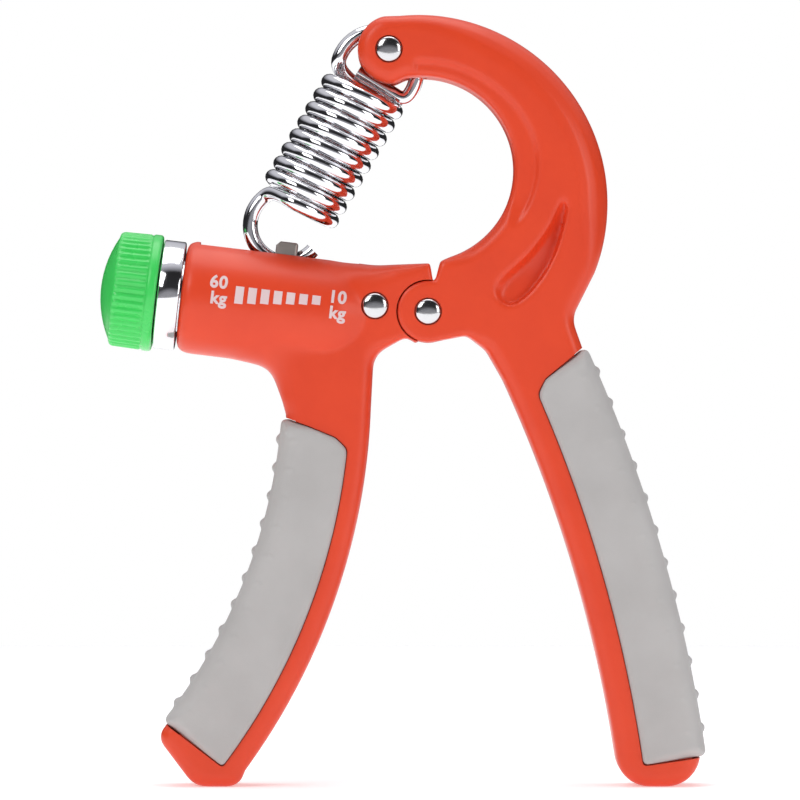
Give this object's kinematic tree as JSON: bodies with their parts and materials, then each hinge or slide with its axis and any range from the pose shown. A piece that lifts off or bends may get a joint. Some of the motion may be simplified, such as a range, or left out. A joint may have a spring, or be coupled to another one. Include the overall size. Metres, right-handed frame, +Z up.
{
  "type": "hand grip strengthener",
  "caption": "A-frame hand grip exerciser: two hinged handles with ribbed grip pads, a tension spring on a C-shaped arm, and a screw knob in a barrel that sets the load.",
  "frame": {"origin": "bottom centre of the whole grip, standing on its two handle tips", "axes": "+Z up along the handles, +Y through the thickness towards the back, +X from the knob towards the C-shaped arm"},
  "size_m": [0.1258, 0.0242, 0.1599],
  "materials": {
    "orange_plastic": "satin moulded orange plastic",
    "green_plastic": "bright green moulded plastic",
    "grip_rubber": "matte light grey soft rubber",
    "chrome": "bright nickel and chrome plating",
    "steel": "plain steel",
    "brass": "machined brass",
    "nylon": "natural nylon"
  },
  "bodies": {
    "frame": {"left_handle": "orange_plastic", "left_grip": "grip_rubber", "barrel_ring": "chrome", "end_block": "nylon", "barrel_rivet": "chrome", "barrel_rivet_washer": "steel"},
    "knob_set": {"adjusting_screw": "steel", "retaining_clip": "steel", "thrust_washer": "steel", "knob_insert": "brass", "knob_screw": "steel", "knob": "green_plastic", "knob_cap": "green_plastic"},
    "carriage": {"carriage": "steel"},
    "arm": {"right_handle": "orange_plastic", "right_grip": "grip_rubber", "pivot_rivet": "chrome", "pivot_rivet_washer": "steel", "pivot_sleeve": "steel", "hinge_washer_front": "nylon", "hinge_washer_back": "nylon"},
    "spring_pin": {"spring_rivet": "chrome", "spring_rivet_washer": "steel"},
    "spring_top": {"spring_upper_loop": "chrome"},
    "spring_middle": {"spring_coils": "chrome"},
    "spring_end": {"spring_lower_hook": "chrome"}
  },
  "joints": [
    {"name": "squeeze", "type": "hinge", "parent": "frame", "child": "arm", "pos_m": [0.0052, 0, 0.0984], "axis": [0, 1, 0], "range_deg": [0, 28], "stiffness_Nm_per_rad": 8, "springref_deg": -5.73},
    {"name": "knob_turn", "type": "hinge", "parent": "frame", "child": "knob_set", "pos_m": [-0.0456, 0, 0.10164], "axis": [0.9929, 0, -0.1193], "range_deg": [-198, 1926]},
    {"name": "carriage_slide", "type": "slide", "parent": "frame", "child": "carriage", "axis": [-0.9929, 0, 0.1193], "range_m": [-0.0008, 0.008]},
    {"name": "spring_pin_turn", "type": "hinge", "parent": "arm", "child": "spring_pin", "pos_m": [-0.0029, 0, 0.1527], "axis": [0, 1, 0], "range_deg": [-4, 1]},
    {"name": "spring_swing", "type": "hinge", "parent": "spring_pin", "child": "spring_top", "pos_m": [-0.0029, 0, 0.1527], "axis": [0, 1, 0], "range_deg": [-1, 7.2]},
    {"name": "spring_shift", "type": "slide", "parent": "spring_top", "child": "spring_middle", "axis": [-0.5067, 0, -0.8621], "range_m": [-0.0005, 0.0046]},
    {"name": "spring_stretch", "type": "slide", "parent": "spring_middle", "child": "spring_end", "axis": [-0.5067, 0, -0.8621], "range_m": [-0.0002, 0.0166], "deforming": ["spring_upper_loop", "spring_coils", "spring_lower_hook"]}
  ],
  "couplings": [
    {"joint": "knob_turn", "follows": "carriage_slide", "rad_per_m": 4188.8},
    {"joint": "spring_pin_turn", "follows": "squeeze", "ratio": -0.1325},
    {"joint": "spring_swing", "follows": "carriage_slide", "rad_per_m": 15.18},
    {"joint": "spring_shift", "follows": "carriage_slide", "ratio": 0.55},
    {"joint": "spring_stretch", "follows": "squeeze", "m_per_rad": 0.03352}
  ]
}
